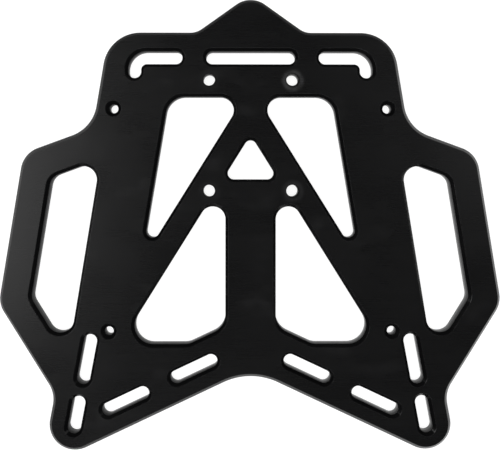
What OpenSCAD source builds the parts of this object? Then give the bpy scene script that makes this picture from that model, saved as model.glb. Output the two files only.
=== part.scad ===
// Flat luggage rack plate for the tail of a motorcycle, cut from one sheet of thick aluminium.
// X runs across the machine and Y runs forward. Z is up, and the plate lies on Z = 0.
// The origin is under the middle of the plate's length and width.
// Places along the plate are measured from its nose or from its tail tips, whichever they go with.
// The plate is the same on its left and right. Sizes from the middle line are given for one half.

/* [Plate] */
// Overall width across the machine
plate_w = 361.5; // [355:0.5:370]
// Overall length from the nose to the tail tips
plate_l = 325; // [318:1:333]
// Thickness of the sheet
plate_t = 10; // [7:0.5:14]
// Width and depth of the slanted break round the top edges
edge_w = 2.2; // [0.5:0.1:2.6]

/* [Nose and shoulders] */
// Radius of the nose
nose_r = 17.7; // [14:0.1:21]
// Distance from the nose back to the straight shoulder line
shoulder_back = 23.8; // [20.5:0.1:26.5]
// Half width over the shoulder corners
shoulder_x = 106.6; // [104:0.1:110]
// Radius of the shoulder corners
shoulder_r = 27; // [20:0.5:30]
// Distance from the middle line to the centre of the hollow beside the nose
nose_hollow_x = 43.8; // [41.5:0.1:47]
// Radius of the hollow beside the nose
nose_hollow_r = 14.7; // [10:0.1:18]

/* [Waist and wings] */
// Half width at the waist
waist_x = 111; // [109:0.5:114]
// Distance from the nose back to the waist
waist_back = 72.5; // [69.5:0.5:75.5]
// Radius of the waist hollow
waist_r = 27.3; // [22:0.1:30]
// Distance from the wing tip in to the centre of the wing's front round
wing_front_in = 33.5; // [31:0.1:36]
// Distance from the nose back to the centre of the wing's front round
wing_front_back = 124.8; // [121.5:0.1:128.5]
// Radius of the wing's front round
wing_front_r = 18.7; // [15:0.1:22]
// Distance from the tail tips forward to the centre of the wing tip's round
wing_tip_ahead = 109.4; // [106.5:0.1:112.5]
// Radius of the wing tip
wing_tip_r = 18.5; // [15:0.1:22]

/* [Tail] */
// Half width at the hollow behind the wings
tail_hollow_x = 142.3; // [140:0.1:144]
// Distance from the tail tips forward to the hollow behind the wings
tail_hollow_ahead = 36.4; // [33.5:0.1:38.5]
// Radius of the hollow behind the wings
tail_hollow_r = 20.6; // [17:0.1:23]
// Distance from the middle line to the centre of a tail corner
tail_corner_x = 126.6; // [125:0.1:129]
// Radius of the tail corners
tail_corner_r = 18.4; // [16:0.1:20]
// Depth of the notch between the tail corners
notch_depth = 52.8; // [49.5:0.1:56.5]
// Radius of the notch
notch_r = 46; // [35:1:50]

/* [Hand grips] */
// Width of the rail beside a hand grip slot
rail_side = 22.5; // [19:0.5:26]
// Width of the rail in front of a hand grip slot
rail_front = 23; // [20:0.1:27]
// Width of the rail behind a hand grip slot
rail_rear = 22; // [19:0.1:27]
// Width of a hand grip slot
grip_w = 32.9; // [28:0.1:36]
// Radius of a hand grip slot's corners
grip_r = 9.8; // [6:0.1:12]

/* [Windows] */
// Distance from the nose back to the front edge of the upper windows
window_back = 70.1; // [67.5:0.1:73.5]
// Distance from the side edge of the shoulders to an upper window
window_web = 50.3; // [47:0.1:53]
// Angle between the slanted struts and the middle line
strut_lean = 32; // [30:0.5:34]
// Width of the slanted struts
strut_w = 18.3; // [16:0.1:21]
// Half of the gap between the upper windows' front corners, before they are rounded
window_gap = 4.5; // [3:0.1:7]
// Radius of an upper window's outer front corner
window_outer_r = 14.1; // [9:0.1:18]
// Radius of an upper window's inner front corner
window_inner_r = 9.6; // [6:0.1:13]
// Radius of an upper window's rear tip
window_tip_r = 4.7; // [3:0.1:6]
// Distance from the nose back to the rear edge of the small middle window
eye_back = 129.9; // [126.5:0.1:133.5]
// Radius of the middle window's corners
eye_r = 4.5; // [3:0.1:6]
// Width of the spine between the lower windows
spine_w = 36.4; // [32:0.1:42]
// Distance from the tail tips forward to the rear edge of the lower windows
lower_rear_ahead = 76.2; // [73.5:0.1:79.5]
// Width of the web between a lower window and the tail's slanted edge
tail_web = 35.8; // [33:0.1:39]
// Radius of a lower window's front tip
lower_front_r = 9.2; // [6:0.1:11]
// Radius of a lower window's outer rear corner
lower_outer_r = 13.5; // [9:0.5:17]
// Radius of the blunt corner in a lower window's rear edge
lower_rear_r = 13.5; // [8:0.5:20]
// Radius of a lower window's inner rear corner
lower_inner_r = 14.2; // [9:0.1:17]

/* [Strap slots] */
// Width of every strap slot
slot_w = 9.4; // [6:0.1:10.4]
// Distance from the plate's edge to the middle of a strap slot
slot_inset = 18.1; // [16:0.1:21]
// Length of the slot in the middle of the shoulders
middle_slot_l = 64.6; // [58:0.1:70]
// Length of the long slots in the tail
long_slot_l = 36.5; // [31:0.1:39]
// Length of the short slots in the tail
short_slot_l = 27.3; // [23:0.1:30]
// Distance along the rear edge from the middle line to the first slot's middle
rear_slot_start = 36.7; // [33:0.1:40]
// Distance along the rear edge from the first slot's middle to the second's
rear_slot_pitch = 54.4; // [51:0.1:58]
// Distance along the tail's side from the corner round to the short slot's middle
side_slot_start = 7; // [5:0.1:10]
// Distance along the tail's side from the short slot's middle to the long slot's
side_slot_pitch = 40.8; // [38:0.1:44]
// Distance from the middle line to the inner end of a corner slot
corner_slot_start = 49.3; // [46:0.1:53]
// Distance from the middle line to the middle of a corner slot's leg
corner_slot_x = 83.8; // [80:0.1:87]
// Radius of a corner slot's bend, along the middle of the slot
corner_bend_r = 8.9; // [7.5:0.1:12]
// Straight length of a corner slot's leg, between its bend and its round end
corner_leg = 1.1; // [0.5:0.1:8]

/* [Bolt holes] */
// Diameter of the four fixing holes
bolt_d = 8.5; // [6:0.1:10]
// Spacing of the fixing holes across the plate
bolt_pitch_x = 60; // [54:1:66]
// Spacing of the fixing holes along the plate
bolt_pitch_y = 80; // [76:1:84]
// Distance from the nose back to the middle of the fixing hole pattern
bolt_back = 98; // [94.5:0.5:100.5]
// Diameter of the four screw holes near the sides
screw_d = 6.4; // [4:0.1:7]
// Diameter of the screw holes' countersinks at the top face
sink_d = 11.5; // [8:0.5:13.5]
// Full angle of the countersinks
sink_angle = 90; // [82:1:100]
// Distance from the middle line to a front screw hole
front_screw_x = 98.8; // [95:0.1:101.5]
// Distance from the nose back to the front screw holes
front_screw_back = 78.9; // [74.5:0.1:82.5]
// Distance from the middle line to a rear screw hole
rear_screw_x = 102.1; // [99:0.1:104]
// Distance from the tail tips forward to the rear screw holes
rear_screw_ahead = 85.7; // [83.5:0.1:89.5]

/* [Hidden] */
$fn = 96;
// How far each cutting body reaches past the faces that it cuts
clear = 0.5;
// How far each round stands out past the straight edges beside it, so that they cross cleanly
lap = 0.002;
// Angle by which a hollow round's cutting body runs on over the straight edges beside it
run_on = 3;
// Most of a straight side that the rounds at its two ends may take up before they are made smaller
straight_share = 0.97;
// How many times as far as its crossing with a straight edge a round's slice spreads
overshoot = 1.5;
// Bend from which a round is a slot's end and is drawn as a whole disc
slot_end_bend = 150;
// Straight sides on the outer border of a round's slice
slice_sides = 4;
half_l = plate_l / 2;
half_w = plate_w / 2;
shoulder_y = half_l - shoulder_back;
window_y = half_l - window_back;
lower_rear_y = lower_rear_ahead - half_l;

// A chain is a closed outline, walked with its inside on the left.
// Each corner in it is [x, y, r]: the centre and radius of its round, with r negative at a hollow.
// The straight edges are the lines that touch one round and the next.
// A line is [x, y, heading], with the inside of the shape that it bounds on its left.

function unit(way) = [cos(way), sin(way)];
function left_of(way) = [-sin(way), cos(way)];
function spot(v) = [v.x, v.y];
function heading(a, b) = atan2(b.y - a.y, b.x - a.x) - asin((b.z - a.z) / norm(spot(b - a)));
function touch(c, way) = spot(c) - c.z * left_of(way);
function sunk(c) = [c.x, c.y, c.z - sign(c.z) * lap];
function before(chain, i) = chain[(i + len(chain) - 1) % len(chain)];
function after(chain, i) = chain[(i + 1) % len(chain)];
function mirrored(chain) = [for (i = [len(chain) - 1:-1:0]) [-chain[i].x, chain[i].y, chain[i].z]];
function bend_at(chain, i) =
    let (turns = (heading(chain[i], after(chain, i)) - heading(before(chain, i), chain[i])) / 360)
        360 * (turns - (chain[i].z > 0 ? floor(turns) : ceil(turns)));
function arc_start(way_in, bend) = bend > 0 ? way_in - 90 : way_in + 90 + bend;

function edge(a, b) = let (way = heading(a, b), p = touch(a, way)) [p.x, p.y, way];
function inward(line, d) = let (p = spot(line) + d * left_of(line.z)) [p.x, p.y, line.z];
function reversed(line) = [line.x, line.y, line.z + 180];
function meet(a, b) =
    let (gap = cross(spot(b - a), unit(b.z)) / cross(unit(a.z), unit(b.z)))
        spot(a) + gap * unit(a.z);
function corner(a, b, r) = let (p = meet(inward(a, r), inward(b, r))) [p.x, p.y, r];
function side(lines, i) = norm(meet(before(lines, i), lines[i]) - meet(lines[i], after(lines, i)));
function run(lines, radii, i) = radii[i] * tan((lines[i].z - before(lines, i).z + 720) % 360 / 2);
function runs_fit(lines, radii, i, j) =
    straight_share * side(lines, i) / (run(lines, radii, i) + run(lines, radii, j));
function fitted_r(lines, radii, i) =
    let (last = (i + len(lines) - 1) % len(lines), next = (i + 1) % len(lines))
        radii[i] * min(1, runs_fit(lines, radii, last, i), runs_fit(lines, radii, i, next));
function rounded(lines, radii) = [
    for (i = [0:len(lines) - 1])
        corner(before(lines, i), lines[i], fitted_r(lines, radii, i))
];
function slot(middle, way, length) =
    let (half = (length - slot_w) / 2 * unit(way))
        [for (p = [middle - half, middle + half]) [p.x, p.y, slot_w / 2]];

// Rounds of the outline's left half, from the nose to the notch
nose = [0, half_l - nose_r, nose_r];
nose_hollow = [-nose_hollow_x, shoulder_y + nose_hollow_r, -nose_hollow_r];
shoulder = [shoulder_r - shoulder_x, shoulder_y - shoulder_r, shoulder_r];
waist = [-waist_x - waist_r, half_l - waist_back, -waist_r];
wing_front = [wing_front_in - half_w, half_l - wing_front_back, wing_front_r];
wing_tip = [wing_tip_r - half_w, wing_tip_ahead - half_l, wing_tip_r];
tail_hollow = [-tail_hollow_x - tail_hollow_r, tail_hollow_ahead - half_l, -tail_hollow_r];
tail_corner = [-tail_corner_x, tail_corner_r - half_l, tail_corner_r];
notch = [0, notch_depth - half_l - notch_r, -notch_r];
left_side = [nose_hollow, shoulder, waist, wing_front, wing_tip, tail_hollow, tail_corner];
outline = concat([nose], left_side, [notch], mirrored(left_side));

// Straight edges that the openings keep their distance from
shoulder_side = edge(shoulder, waist);
wing_front_edge = edge(waist, wing_front);
wing_side = edge(wing_front, wing_tip);
wing_rear_edge = edge(wing_tip, tail_hollow);
tail_side = edge(tail_hollow, tail_corner);
tail_rear = edge(tail_corner, notch);
middle_line = [0, 0, 90];
front_face = [0, shoulder_y - slot_inset];

grip = rounded(
    [
        inward(wing_front_edge, rail_front),
        inward(wing_side, rail_side),
        inward(wing_rear_edge, rail_rear),
        reversed(inward(wing_side, rail_side + grip_w))
    ],
    [grip_r, grip_r, grip_r, grip_r]
);

upper_diagonal = [-window_gap, window_y, 90 - strut_lean];
lower_diagonal = reversed(inward(upper_diagonal, -strut_w));
upper_window = rounded(
    [[0, window_y, 180], inward(shoulder_side, window_web), upper_diagonal],
    [window_inner_r, window_outer_r, window_tip_r]
);
lower_window = rounded(
    [lower_diagonal, [0, lower_rear_y, 0], inward(tail_rear, tail_web), [-spine_w / 2, 0, 90]],
    [lower_front_r, lower_outer_r, lower_rear_r, lower_inner_r]
);
eye_peak = meet(lower_diagonal, middle_line);
eye = rounded(
    [lower_diagonal, [0, half_l - eye_back, 0], [0, eye_peak.y, 90 + strut_lean]],
    [eye_r, eye_r, eye_r]
);

rear_row = inward(tail_rear, slot_inset);
rear_middle = meet(tail_rear, middle_line) + slot_inset * left_of(tail_rear.z);
side_row = inward(tail_side, slot_inset);
side_end = touch(tail_corner, tail_side.z) + slot_inset * left_of(tail_side.z);
tail_slots = [
    for (along = [rear_slot_start, rear_slot_start + rear_slot_pitch])
        slot(rear_middle - along * unit(rear_row.z), rear_row.z, long_slot_l),
    slot(side_end - side_slot_start * unit(side_row.z), side_row.z, short_slot_l),
    slot(side_end - (side_slot_start + side_slot_pitch) * unit(side_row.z), side_row.z, long_slot_l)
];
bend_centre = [corner_bend_r - corner_slot_x, front_face.y - corner_bend_r];
corner_slot = [
    [-corner_slot_start - slot_w / 2, front_face.y, slot_w / 2],
    [bend_centre.x, bend_centre.y, corner_bend_r + slot_w / 2],
    [-corner_slot_x, bend_centre.y - corner_leg, slot_w / 2],
    [bend_centre.x, bend_centre.y, slot_w / 2 - corner_bend_r]
];
middle_slot = slot(front_face, 0, middle_slot_l);

left_openings = concat([grip, upper_window, lower_window, corner_slot], tail_slots);
openings = concat([eye, middle_slot], left_openings, [for (chain = left_openings) mirrored(chain)]);
bolt_spots = [
    for (x = [-1, 1], y = [-1, 1])
        [x * bolt_pitch_x / 2, half_l - bolt_back + y * bolt_pitch_y / 2]
];
front_screw = [front_screw_x, half_l - front_screw_back];
rear_screw = [rear_screw_x, rear_screw_ahead - half_l];
screw_spots = [for (x = [-1, 1], p = [front_screw, rear_screw]) [x * p.x, p.y]];

// The rounded corner of a flat shape: a whole disc at a slot's end, and a slice of one elsewhere,
// which spreads just past the points where its arc crosses the straight edges
module round_corner(chain, i) {
    c = chain[i];
    bend = bend_at(chain, i);
    spread = overshoot * acos(1 - lap / c.z);
    first = heading(before(chain, i), c) - 90 - spread;
    if (bend > slot_end_bend)
        translate(spot(c))
            circle(r = c.z);
    else
        intersection() {
            translate(spot(c))
                circle(r = c.z);
            polygon([
                spot(c),
                for (k = [0:slice_sides])
                    spot(c) + 2 * c.z * unit(first + k / slice_sides * (bend + 2 * spread))
            ]);
        }
}

// The flat shape inside a chain
module inside(chain) {
    difference() {
        union() {
            polygon([
                for (i = [0:len(chain) - 1])
                    each [
                        touch(sunk(chain[i]), heading(before(chain, i), chain[i])),
                        touch(sunk(chain[i]), heading(chain[i], after(chain, i)))
                    ]
            ]);
            for (i = [0:len(chain) - 1])
                if (chain[i].z > 0)
                    round_corner(chain, i);
        }
        for (c = chain)
            if (c.z < 0)
                translate(spot(c))
                    circle(r = -c.z);
    }
}

// Cutting bodies that slant the top edge along the straight edges of a chain.
// metal is 1 where the metal is inside the chain and -1 where the chain is an opening.
module straight_breaks(chain, metal) {
    reach = edge_w + clear;
    for (i = [0:len(chain) - 1]) {
        a = chain[i];
        b = after(chain, i);
        way = heading(a, b);
        start_run = a.z * metal > 0 ? clear : 0;
        end_run = b.z * metal > 0 ? clear : 0;
        start = touch(a, way) - start_run * unit(way);
        end = touch(b, way) + end_run * unit(way);
        translate([start.x, start.y, plate_t])
            rotate([90, 0, way + 90])
                linear_extrude(norm(end - start))
                    polygon([[-metal * clear, -reach], [metal * reach, clear], [-metal * clear, clear]]);
    }
}

// Cutting bodies that slant the top edge round the corners of a chain
module round_breaks(chain, metal) {
    reach = edge_w + clear;
    for (i = [0:len(chain) - 1]) {
        c = chain[i];
        bend = bend_at(chain, i);
        first = arc_start(heading(before(chain, i), c), bend);
        away = c.z * metal > 0 ? -1 : 1;
        spare = away > 0 ? run_on : 0;
        r = abs(c.z) + lap;
        translate([c.x, c.y, plate_t])
            rotate_extrude(angle = abs(bend) + 2 * spare, start = first - spare)
                polygon([[r - away * clear, -reach], [r + away * reach, clear], [r - away * clear, clear]]);
    }
}

module rack_plate() {
    sink_depth = (sink_d - screw_d) / 2 / tan(sink_angle / 2);
    sink_spread = 2 * clear * tan(sink_angle / 2);
    color("#1c1c1e")
        difference() {
            linear_extrude(plate_t)
                inside(outline);
            for (chain = openings)
                translate([0, 0, -clear])
                    linear_extrude(plate_t + 2 * clear)
                        inside(chain);
            for (p = bolt_spots)
                translate([p.x, p.y, -clear])
                    cylinder(h = plate_t + 2 * clear, d = bolt_d);
            for (p = screw_spots) {
                translate([p.x, p.y, -clear])
                    cylinder(h = plate_t + 2 * clear, d = screw_d);
                translate([p.x, p.y, plate_t - sink_depth])
                    cylinder(h = sink_depth + clear, d1 = screw_d, d2 = sink_d + sink_spread);
            }
            straight_breaks(outline, 1);
            for (chain = openings)
                straight_breaks(chain, -1);
            round_breaks(outline, 1);
            for (chain = openings)
                round_breaks(chain, -1);
        }
}

rack_plate();
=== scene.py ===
import math

import bmesh
import bpy
import numpy as np
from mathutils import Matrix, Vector
from mathutils.geometry import delaunay_2d_cdt


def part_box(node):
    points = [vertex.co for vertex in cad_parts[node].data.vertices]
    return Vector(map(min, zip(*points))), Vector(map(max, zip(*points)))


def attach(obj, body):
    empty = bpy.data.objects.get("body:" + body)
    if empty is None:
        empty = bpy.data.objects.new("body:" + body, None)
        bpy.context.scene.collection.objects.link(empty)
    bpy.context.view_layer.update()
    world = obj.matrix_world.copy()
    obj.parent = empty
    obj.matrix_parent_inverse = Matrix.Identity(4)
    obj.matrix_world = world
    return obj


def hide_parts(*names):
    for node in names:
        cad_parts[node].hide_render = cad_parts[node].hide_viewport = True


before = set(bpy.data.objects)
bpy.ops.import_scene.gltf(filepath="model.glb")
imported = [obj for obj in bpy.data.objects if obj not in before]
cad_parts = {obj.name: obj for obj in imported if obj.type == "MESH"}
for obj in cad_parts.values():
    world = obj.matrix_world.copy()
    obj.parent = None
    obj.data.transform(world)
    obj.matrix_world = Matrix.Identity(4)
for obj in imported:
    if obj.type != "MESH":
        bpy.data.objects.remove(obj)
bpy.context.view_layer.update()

# The view. The plate lies flat and is seen from straight above, from about arm's length, so its
# far walls show a little inside the openings. The photograph was cropped from a larger frame,
# which is why the lens axis stands above the middle of the picture.
lens_place = (-0.0040, 0.0393, 0.4708)
lens_lean = math.radians(-0.44)
lens_roll = math.radians(0.02)
lens_mm = 46.08
lens_shift_y = -0.1096

camera_data = bpy.data.cameras.new("camera")
camera_data.lens = lens_mm
camera_data.sensor_width = 36
camera_data.shift_y = lens_shift_y
camera_data.clip_start = 0.01
camera = bpy.data.objects.new("camera", camera_data)
camera.location = lens_place
camera.rotation_euler = (0, lens_lean, lens_roll)
bpy.context.scene.collection.objects.link(camera)
bpy.context.scene.camera = camera
bpy.context.scene.view_settings.view_transform = "Standard"


# The floor. A sheet of white board that the plate lies on. It looks nearly burnt out, as in the
# photograph, and still takes the plate's soft shadow. Its glow as the metal mirrors it is painted
# reflection, strongest on the right and weakest on the left, and fades out towards the front in
# painted shade.
class Maths:
    """A node's socket, on which Python's operators add Math nodes."""

    def __init__(self, made, socket):
        self.made = made
        self.socket = socket

    def reckon(self, operation, *values):
        return self.made.node("ShaderNodeMath", {"operation": operation}, dict(enumerate(values)))

    def __add__(self, other):
        return self.reckon("ADD", self, other)

    def __sub__(self, other):
        return self.reckon("SUBTRACT", self, other)

    def __rsub__(self, other):
        return self.reckon("SUBTRACT", other, self)

    def __mul__(self, other):
        return self.reckon("MULTIPLY", self, other)

    __radd__ = __add__
    __rmul__ = __mul__

    def at_least(self, other):
        return self.reckon("MAXIMUM", self, other)

    def ramp(self, low, high, to_low=0.0, to_high=1.0):
        """This value carried smoothly from the range low to high onto the range to_low to to_high."""
        settings = {"interpolation_type": "SMOOTHSTEP"}
        limits = {"From Min": low, "From Max": high, "To Min": to_low, "To Max": to_high}
        return self.made.node("ShaderNodeMapRange", settings, {"Value": self, **limits})


class Finish:
    """The emptied node tree of a material or of the room, and a method that adds a node of any type."""

    def __init__(self, owner):
        owner.use_nodes = True
        self.tree = owner.node_tree
        self.tree.nodes.clear()

    def node(self, kind, settings=None, inputs=None, output=0):
        made = self.tree.nodes.new(kind)
        for key, value in (settings or {}).items():
            setattr(made, key, value)
        for key, value in (inputs or {}).items():
            if isinstance(value, Maths):
                self.tree.links.new(value.socket, made.inputs[key])
            else:
                made.inputs[key].default_value = value
        return Maths(self, made.outputs[output])

    def other_output(self, value, name):
        return Maths(self, value.socket.node.outputs[name])

    def mix_colour(self, share, first, second):
        made = self.tree.nodes.new("ShaderNodeMix")
        made.data_type = "RGBA"
        for key, value in (("Factor", share), ("A", first), ("B", second)):
            socket = next(s for s in made.inputs if s.name == key and s.enabled)
            if isinstance(value, Maths):
                self.tree.links.new(value.socket, socket)
            else:
                socket.default_value = value
        return Maths(self, next(s for s in made.outputs if s.enabled))

    def output(self, kind, surface):
        end = self.tree.nodes.new(kind)
        self.tree.links.new(surface.socket, end.inputs["Surface"])


floor_half = 2.4
floor_drop = 0.0002
floor_white = 0.85
burnt_out = 0.62
glow_seen = 1.36
# Painted reflection and painted shade: the floor's glow in the metal, graded from left to right and behind
# the tail, and fading out in front.
glow_left, glow_middle, glow_right, glow_rear = 0.7, 1.0, 1.45, 1.1
glow_reach = 0.17
lost_from, lost_at = 0.128, 0.150

floor_mesh = bpy.data.meshes.new("floor")
floor_signs = ((-1, -1), (1, -1), (1, 1), (-1, 1))
floor_corners = [(x * floor_half, y * floor_half, -floor_drop) for x, y in floor_signs]
floor_mesh.from_pydata(floor_corners, [], [(0, 1, 2, 3)])
floor = bpy.data.objects.new("floor", floor_mesh)
bpy.context.scene.collection.objects.link(floor)

board_finish = bpy.data.materials.new("white_board")
board = Finish(board_finish)
rays = board.node("ShaderNodeLightPath", output="Is Camera Ray")
looked_at = rays.at_least(board.other_output(rays, "Is Transmission Ray"))
mirrored = board.other_output(rays, "Is Glossy Ray")
floor_place = board.node("ShaderNodeTexCoord", output="Object")
across = board.node("ShaderNodeSeparateXYZ", {}, {0: floor_place}, output="X")
ahead = board.other_output(across, "Y")
# The painted reflection rises from left to right and towards the tail, and painted shade fades it out ahead
# of the nose.
glow_across = across.ramp(-glow_reach, glow_reach, glow_left, glow_right)
glow_behind = ahead.ramp(-glow_reach, 0, glow_rear, glow_middle)
painted_reflection_glow = glow_across * glow_behind * ahead.ramp(lost_from, lost_at, 1, 0)
glow_level = looked_at * glow_seen + mirrored * painted_reflection_glow
paper = board.node("ShaderNodeBsdfDiffuse", {}, {"Color": (floor_white, floor_white, floor_white, 1)})
glow = board.node("ShaderNodeEmission", {}, {"Color": (1, 1, 1, 1), "Strength": glow_level})
burning = looked_at.at_least(mirrored) * burnt_out
board_skin = board.node("ShaderNodeMixShader", {}, {0: burning, 1: paper, 2: glow})
board.output("ShaderNodeOutputMaterial", board_skin)
floor_mesh.materials.append(board_finish)

# The light. A large soft lamp high on the left gives the left rail its sheen, a weak reflector does
# the same on the right, and a lower lamp stands behind the tail. The overhead fill isn't mirrored in
# the black. The room looks white, but it lights the plate dimly, and least from near the horizon.
lamps = {
    "left_softbox": {"place": (-1.31, 0.10, 1.44), "size": (1.25, 1.5), "power": 9.7},
    "right_reflector": {"place": (1.31, 0.40, 1.44), "size": (0.8, 1.5), "power": 2.0},
    "rear_softbox": {"place": (-0.30, -1.40, 1.03), "size": (1.4, 0.75), "power": 6.5},
    "overhead_fill": {"place": (0, 0, 2.2), "size": (2.4, 2.4), "power": 46, "mirrored": False},
}
for name, lamp in lamps.items():
    lamp_data = bpy.data.lights.new(name, "AREA")
    lamp_data.shape = "RECTANGLE"
    lamp_data.size, lamp_data.size_y = lamp["size"]
    lamp_data.energy = lamp["power"]
    lamp_object = bpy.data.objects.new(name, lamp_data)
    lamp_object.location = lamp["place"]
    lamp_object.rotation_euler = (-Vector(lamp["place"])).to_track_quat("-Z", "Y").to_euler()
    lamp_object.visible_glossy = lamp.get("mirrored", True)
    bpy.context.scene.collection.objects.link(lamp_object)

horizon_grey, zenith_grey = 0.008, 0.062
zenith_height = 0.9
floor_rim_height = 0.04

room = bpy.data.worlds.new("room")
bpy.context.scene.world = room
sky = Finish(room)
sky_height = sky.node("ShaderNodeSeparateXYZ", {}, {0: sky.node("ShaderNodeTexCoord")}, output="Z")
sky_rays = sky.node("ShaderNodeLightPath", output="Is Camera Ray")
sky_looked_at = sky_rays.at_least(sky.other_output(sky_rays, "Is Transmission Ray"))
sky_mirrored = sky.other_output(sky_rays, "Is Glossy Ray") * sky_height.ramp(0, floor_rim_height, 1, 0)
sky_white = sky_looked_at.at_least(sky_mirrored)
sky_grey = sky_height.ramp(0, zenith_height, horizon_grey, zenith_grey)
sky_look = {"Color": (1, 1, 1, 1), "Strength": sky_white + (1 - sky_white) * sky_grey}
sky.output("ShaderNodeOutputWorld", sky.node("ShaderNodeBackground", {}, sky_look))

# The rack plate. One piece of aluminium sheet, milled to shape with a slanted break round its top
# edges, with every arris lightly dulled by hand, then anodised black. Its outline, openings and
# holes are taken from the frame, with their rounds made finer and their arrises softened.
plate_low, plate_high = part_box("rack_plate")
arris_r = 0.00014
arris_steps = 3
arris_lead = 0.0003
face_lead = 10 * arris_r
round_steps = 2
longest_chord = 0.009
face_grid = 0.008
clear_of_border = 0.4 * face_grid
hole_area = 0.00008
same_place = 0.00002
same_place_digits = 5
same_point = 1e-7
least_turn = math.radians(1)
uneven_chords = 0.02
level = 0.99

cad_form = bmesh.new()
cad_form.from_mesh(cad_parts["rack_plate"].data)
bmesh.ops.remove_doubles(cad_form, verts=cad_form.verts, dist=same_place)


def face_rings(form, z, facing):
    """The borders of the flat face at height z, each a closed ring of points with metal on its left."""
    follows = {}
    for face in form.faces:
        if face.normal.z * facing > level and abs(face.calc_center_median().z - z) < same_place:
            for corner in face.loops:
                other = corner.link_loop_radial_next.face
                if other.normal.z * facing < level:
                    ends = (corner.vert, corner.link_loop_next.vert)
                    follows[ends[facing < 0]] = ends[facing > 0]
    rings = []
    while follows:
        first, here = follows.popitem()
        ring = [first]
        while here is not first:
            ring.append(here)
            here = follows.pop(here)
        rings.append([v.co.xy.copy() for v in ring])
    return rings


def finer(ring):
    """The ring with its rounds cut finer and its straight sides cut into short chords.

    Where two chords of the same length meet at an angle, both belong to a round. The new points
    stay within the plate's box.
    """
    count = len(ring)
    chords = [ring[(i + 1) % count] - ring[i] for i in range(count)]
    turns = [chords[i - 1].angle_signed(chords[i], 0.0) for i in range(count)]
    unlike = [abs(chords[i - 1].length / chords[i].length - 1) for i in range(count)]
    rounded = [unlike[i] < uneven_chords and abs(turns[i]) > least_turn for i in range(count)]
    made = []
    for i, start in enumerate(ring):
        made.append(start)
        bends = [turns[k % count] for k in (i, i + 1) if rounded[k % count]]
        if not bends:
            parts = math.ceil(chords[i].length / longest_chord)
            made += [start + chords[i] * k / parts for k in range(1, parts)]
            continue
        bend = -sum(bends) / len(bends)
        side = chords[i].orthogonal()
        for k in range(1, round_steps):
            turned = bend * (k / round_steps - 0.5)
            rise = (math.cos(turned) - math.cos(bend / 2)) / (2 * math.sin(bend / 2))
            run = 0.5 + math.sin(turned) / (2 * math.sin(bend / 2))
            spot = start + run * chords[i] - rise * side
            limits = zip(spot, plate_low, plate_high)
            made.append(Vector([min(max(place, low), high) for place, low, high in limits]))
    return made


def ring_area(ring):
    return sum(a.x * b.y - b.x * a.y for a, b in zip(ring, ring[1:] + ring[:1])) / 2


def mitres(ring):
    """For each point of a ring, the step that takes it one metre in over the metal from both its edges."""
    steps = []
    for i, here in enumerate(ring):
        before = (here - ring[i - 1]).normalized()
        after = (ring[(i + 1) % len(ring)] - here).normalized()
        middle = (before + after).normalized()
        steps.append(middle.orthogonal() / middle.dot(after))
    return steps


def softened(corners):
    """A wall's section with its sharp corners rounded, and a point of lead on either side of each.

    Each point comes with 1 where it is on a rounded arris and 0 where it is not.
    """
    points = []
    for before, corner, after in zip(corners, corners[1:], corners[2:]):
        into, out = (corner - before).normalized(), (after - corner).normalized()
        half_turn = into.angle(out) / 2
        trim = arris_r * math.tan(half_turn)
        centre = corner + (out - into).normalized() * arris_r / math.cos(half_turn)
        start, end = corner - into * trim - centre, corner + out * trim - centre
        points.append((corner - into * (trim + arris_lead), 0))
        ways = [start.slerp(end, k / arris_steps).normalized() for k in range(arris_steps + 1)]
        points += [(centre + arris_r * way, 1) for way in ways]
        points.append((corner + out * (trim + arris_lead), 0))
    return points


def place_of(point):
    return round(point.x, same_place_digits), round(point.y, same_place_digits)


plate_mesh = bpy.data.meshes.new("rack_plate_finished")
plate_form = bmesh.new()
worn_mark = plate_form.verts.layers.float.new("worn")
flat_mark = plate_form.verts.layers.float.new("flat")
wall_mark = plate_form.verts.layers.float.new("wall")
run_map = plate_form.loops.layers.uv.new("along_the_edge")

wall_tops = {}
for vert in cad_form.verts:
    wall_tops[place_of(vert.co)] = max(wall_tops.get(place_of(vert.co), plate_low.z), vert.co.z)

bolt_middles = []
low_border, high_border = [], []
for ring in face_rings(cad_form, plate_low.z, -1):
    wall_top = max(wall_tops.get(place_of(here), plate_low.z) for here in ring)
    slant = plate_high.z - wall_top
    corners = [Vector((face_lead, plate_low.z)), Vector((0, plate_low.z)), Vector((0, wall_top))]
    if slant > same_place:
        corners.append(Vector((slant, plate_high.z)))
    elif abs(ring_area(ring)) < hole_area:
        bolt_middles.append(sum(ring, Vector((0, 0))) / len(ring))
    corners.append(corners[-1] + Vector((face_lead, 0)))
    section = softened(corners)
    ring = finer(ring)
    columns = []
    for step, here in zip(mitres(ring), ring):
        column = []
        for (inset, height), worn in section:
            spot = here + step * inset
            vert = plate_form.verts.new((spot.x, spot.y, height))
            vert[worn_mark] = worn
            vert[wall_mark] = inset < same_place
            column.append(vert)
        columns.append(column)
    climbs = [0]
    for (below, _), (above, _) in zip(section, section[1:]):
        climbs.append(climbs[-1] + (above - below).length)
    run = 0
    for i, column in enumerate(columns):
        after = columns[(i + 1) % len(columns)]
        run_after = run + (ring[(i + 1) % len(ring)] - ring[i]).length
        for j, (climb, climb_after) in enumerate(zip(climbs, climbs[1:])):
            face = plate_form.faces.new((column[j], after[j], after[j + 1], column[j + 1]))
            spots = ((run, climb), (run_after, climb), (run_after, climb_after), (run, climb_after))
            for corner, spot in zip(face.loops, spots):
                corner[run_map].uv = spot
        run = run_after
    low_border.append([column[0] for column in columns])
    high_border.append([column[-1] for column in columns])


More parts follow.
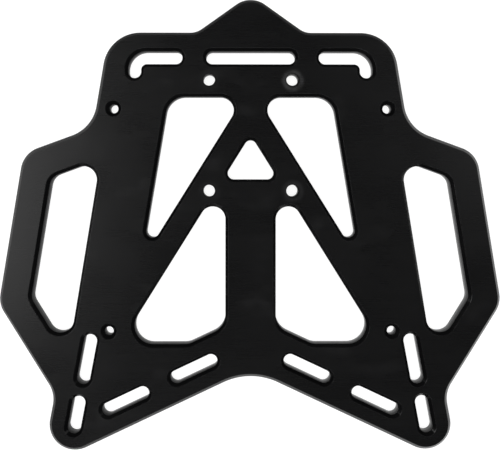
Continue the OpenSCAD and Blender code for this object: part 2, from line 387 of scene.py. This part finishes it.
def cover(rings, height, facing):
    """Fills the flat face that the rings bound with even triangles, on the rings' own points and a grid."""
    verts = [vert for ring in rings for vert in ring]
    spots = [vert.co.xy for vert in verts]
    borders, start = [], 0
    for ring in rings:
        borders += [(start + k, start + (k + 1) % len(ring)) for k in range(len(ring))]
        start += len(ring)
    tails = np.array([spots[a] for a, b in borders])
    heads = np.array([spots[b] for a, b in borders])

    def on_metal(points):
        x, y = points[:, None, 0], points[:, None, 1]
        crossed = (tails[:, 1] > y) != (heads[:, 1] > y)
        rise = np.where(tails[:, 1] == heads[:, 1], 1, heads[:, 1] - tails[:, 1])
        at = tails[:, 0] + (y - tails[:, 1]) / rise * (heads[:, 0] - tails[:, 0])
        return (crossed & (x < at)).sum(1) % 2 == 1

    def border_distance(points):
        along = heads - tails
        share = ((points[:, None] - tails) * along).sum(2) / (along**2).sum(1)
        nearest = tails + np.clip(share, 0, 1)[..., None] * along
        return np.linalg.norm(points[:, None] - nearest, axis=2).min(1)

    rows = [np.arange(a, b, face_grid) for a, b in zip(tails.min(0), tails.max(0))]
    grid = np.stack(np.meshgrid(*rows), -1).reshape(-1, 2)
    grid = grid[on_metal(grid)]
    grid = grid[border_distance(grid) > clear_of_border]
    spots += [Vector(point) for point in grid]
    verts += [plate_form.verts.new((*point, height)) for point in grid]
    for vert in verts:
        vert[flat_mark] = 1
    points, _, triangles, came_from, _, _ = delaunay_2d_cdt(spots, borders, [], 0, same_point)
    middles = np.array(points)[np.array(triangles)].mean(1)
    for triangle, metal in zip(triangles, on_metal(middles)):
        if metal:
            corners = [verts[came_from[k][0]] for k in triangle]
            face = plate_form.faces.new(corners if facing > 0 else corners[::-1])
            for corner in face.loops:
                corner[run_map].uv = corner.vert.co.xy


cover(low_border, plate_low.z, -1)
cover(high_border, plate_high.z, 1)

for face in plate_form.faces:
    face.smooth = True
plate_form.to_mesh(plate_mesh)
plate = bpy.data.objects.new("rack_plate_finished", plate_mesh)
bpy.context.scene.collection.objects.link(plate)

# Its finish. Black anodising over sheet rubbed from side to side, with fine lines and clouds on the
# faces, cutter marks on the walls, a smoother break and paler arrises. Washers have rubbed a ring
# round each of the four bolt holes, clearest at the front on the right.
black = (0.0027, 0.0027, 0.0029, 1)
cloud_black = (0.0039, 0.0039, 0.0041, 1)
rubbed_grey = (0.030, 0.030, 0.031, 1)
arris_grey = (0.014, 0.014, 0.0145, 1)
sheen_level = 0.55
satin = 0.28
slope_smoothness = 0.15
wall_foot_dullness, wall_head_dullness = -0.10, 0.42
wall_climb = 0.0075
line_grain, hair_grain, cutter_grain = (24, 1900, 24), (60, 5200, 60), (900, 120, 1)
cloud_grain, smudge_grain = (22, 30, 22), (34, 60, 34)
arris_grain, ring_grain = (60, 60, 60), (130, 130, 130)
plain_detail, patch_detail, cloud_detail = 2.0, 3.0, 4.0
line_limits, cloud_limits, smudge_limits = (0.5, 0.78), (0.3, 0.72), (0.56, 0.78)
arris_limits, arris_wear = (0.3, 0.7), (0.2, 0.6)
ring_limits, ring_wear = (0.35, 0.65), (0.45, 1.0)
line_share, hair_share = 0.65, 0.35
line_paleness, smudge_paleness = 0.07, 0.07
line_dullness, cloud_dullness, smudge_dullness, cutter_dullness = 0.07, 0.10, 0.05, 0.12
relief_strength, relief_depth = 0.05, 0.00003

anodising = bpy.data.materials.new("black_anodised_aluminium")
anodised = Finish(anodising)
on_plate = anodised.node("ShaderNodeTexCoord", output="Object")
along_edge = anodised.node("ShaderNodeUVMap", {"uv_map": "along_the_edge"})
up_wall = anodised.node("ShaderNodeSeparateXYZ", {}, {0: along_edge}, output="Y")


def marked(name):
    return anodised.node("ShaderNodeAttribute", {"attribute_name": name}, output="Fac")


def noise(where, grain, detail=plain_detail):
    laid = anodised.node("ShaderNodeMapping", {}, {"Vector": where, "Scale": grain})
    return anodised.node("ShaderNodeTexNoise", {}, {"Vector": laid, "Scale": 1.0, "Detail": detail})


worn, flat, wall = marked("worn"), marked("flat"), marked("wall")
rubbing = noise(on_plate, line_grain) * line_share + noise(on_plate, hair_grain) * hair_share
clouds = noise(on_plate, cloud_grain, cloud_detail)
smudges = noise(on_plate, smudge_grain, patch_detail).ramp(*smudge_limits)
cutter_marks = noise(along_edge, cutter_grain)
arris_patches = noise(on_plate, arris_grain).ramp(*arris_limits, *arris_wear)
ring_patches = noise(on_plate, ring_grain, patch_detail).ramp(*ring_limits, *ring_wear)

washer_inner, washer_most, washer_outer = 0.0044, 0.0058, 0.0094
washer_shift = 0.0004
front_pair = 0.06
rubbed_front_right, rubbed_rear_right, rubbed_left = 0.9, 0.28, 0.15
washer_rings = None
for middle in bolt_middles:
    pressed = {0: on_plate, 1: (middle.x + washer_shift, middle.y - washer_shift, plate_high.z)}
    out = anodised.node("ShaderNodeVectorMath", {"operation": "DISTANCE"}, pressed, output="Value")
    rubbed = rubbed_left
    if middle.x > 0:
        rubbed = rubbed_front_right if middle.y > front_pair else rubbed_rear_right
    ring = out.ramp(washer_inner, washer_most) * out.ramp(washer_outer, washer_most) * rubbed
    washer_rings = ring if washer_rings is None else washer_rings.at_least(ring)

colour = anodised.mix_colour(clouds.ramp(*cloud_limits), black, cloud_black)
colour = anodised.mix_colour(smudges * smudge_paleness, colour, rubbed_grey)
colour = anodised.mix_colour(flat * rubbing.ramp(*line_limits) * line_paleness, colour, rubbed_grey)
colour = anodised.mix_colour(washer_rings * ring_patches * flat, colour, rubbed_grey)
colour = anodised.mix_colour(worn * arris_patches, colour, arris_grey)
roughness = satin + (rubbing - 0.5) * flat * line_dullness
roughness = roughness + (clouds - 0.5) * cloud_dullness + smudges * smudge_dullness
roughness = roughness + (cutter_marks - 0.5) * (1 - flat) * cutter_dullness
roughness = roughness + wall * up_wall.ramp(0, wall_climb, wall_foot_dullness, wall_head_dullness)
roughness = roughness - (1 - flat) * (1 - wall) * slope_smoothness
relief = rubbing * flat + cutter_marks * (1 - flat)
relief_look = {"Strength": relief_strength, "Distance": relief_depth, "Height": relief}
bump = anodised.node("ShaderNodeBump", {}, relief_look)
skin_look = {"Base Color": colour, "Roughness": roughness, "Normal": bump, "Specular IOR Level": sheen_level}
skin = anodised.node("ShaderNodeBsdfPrincipled", {}, skin_look)
anodised.output("ShaderNodeOutputMaterial", skin)
plate_mesh.materials.append(anodising)

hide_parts("rack_plate")
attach(plate, "root")
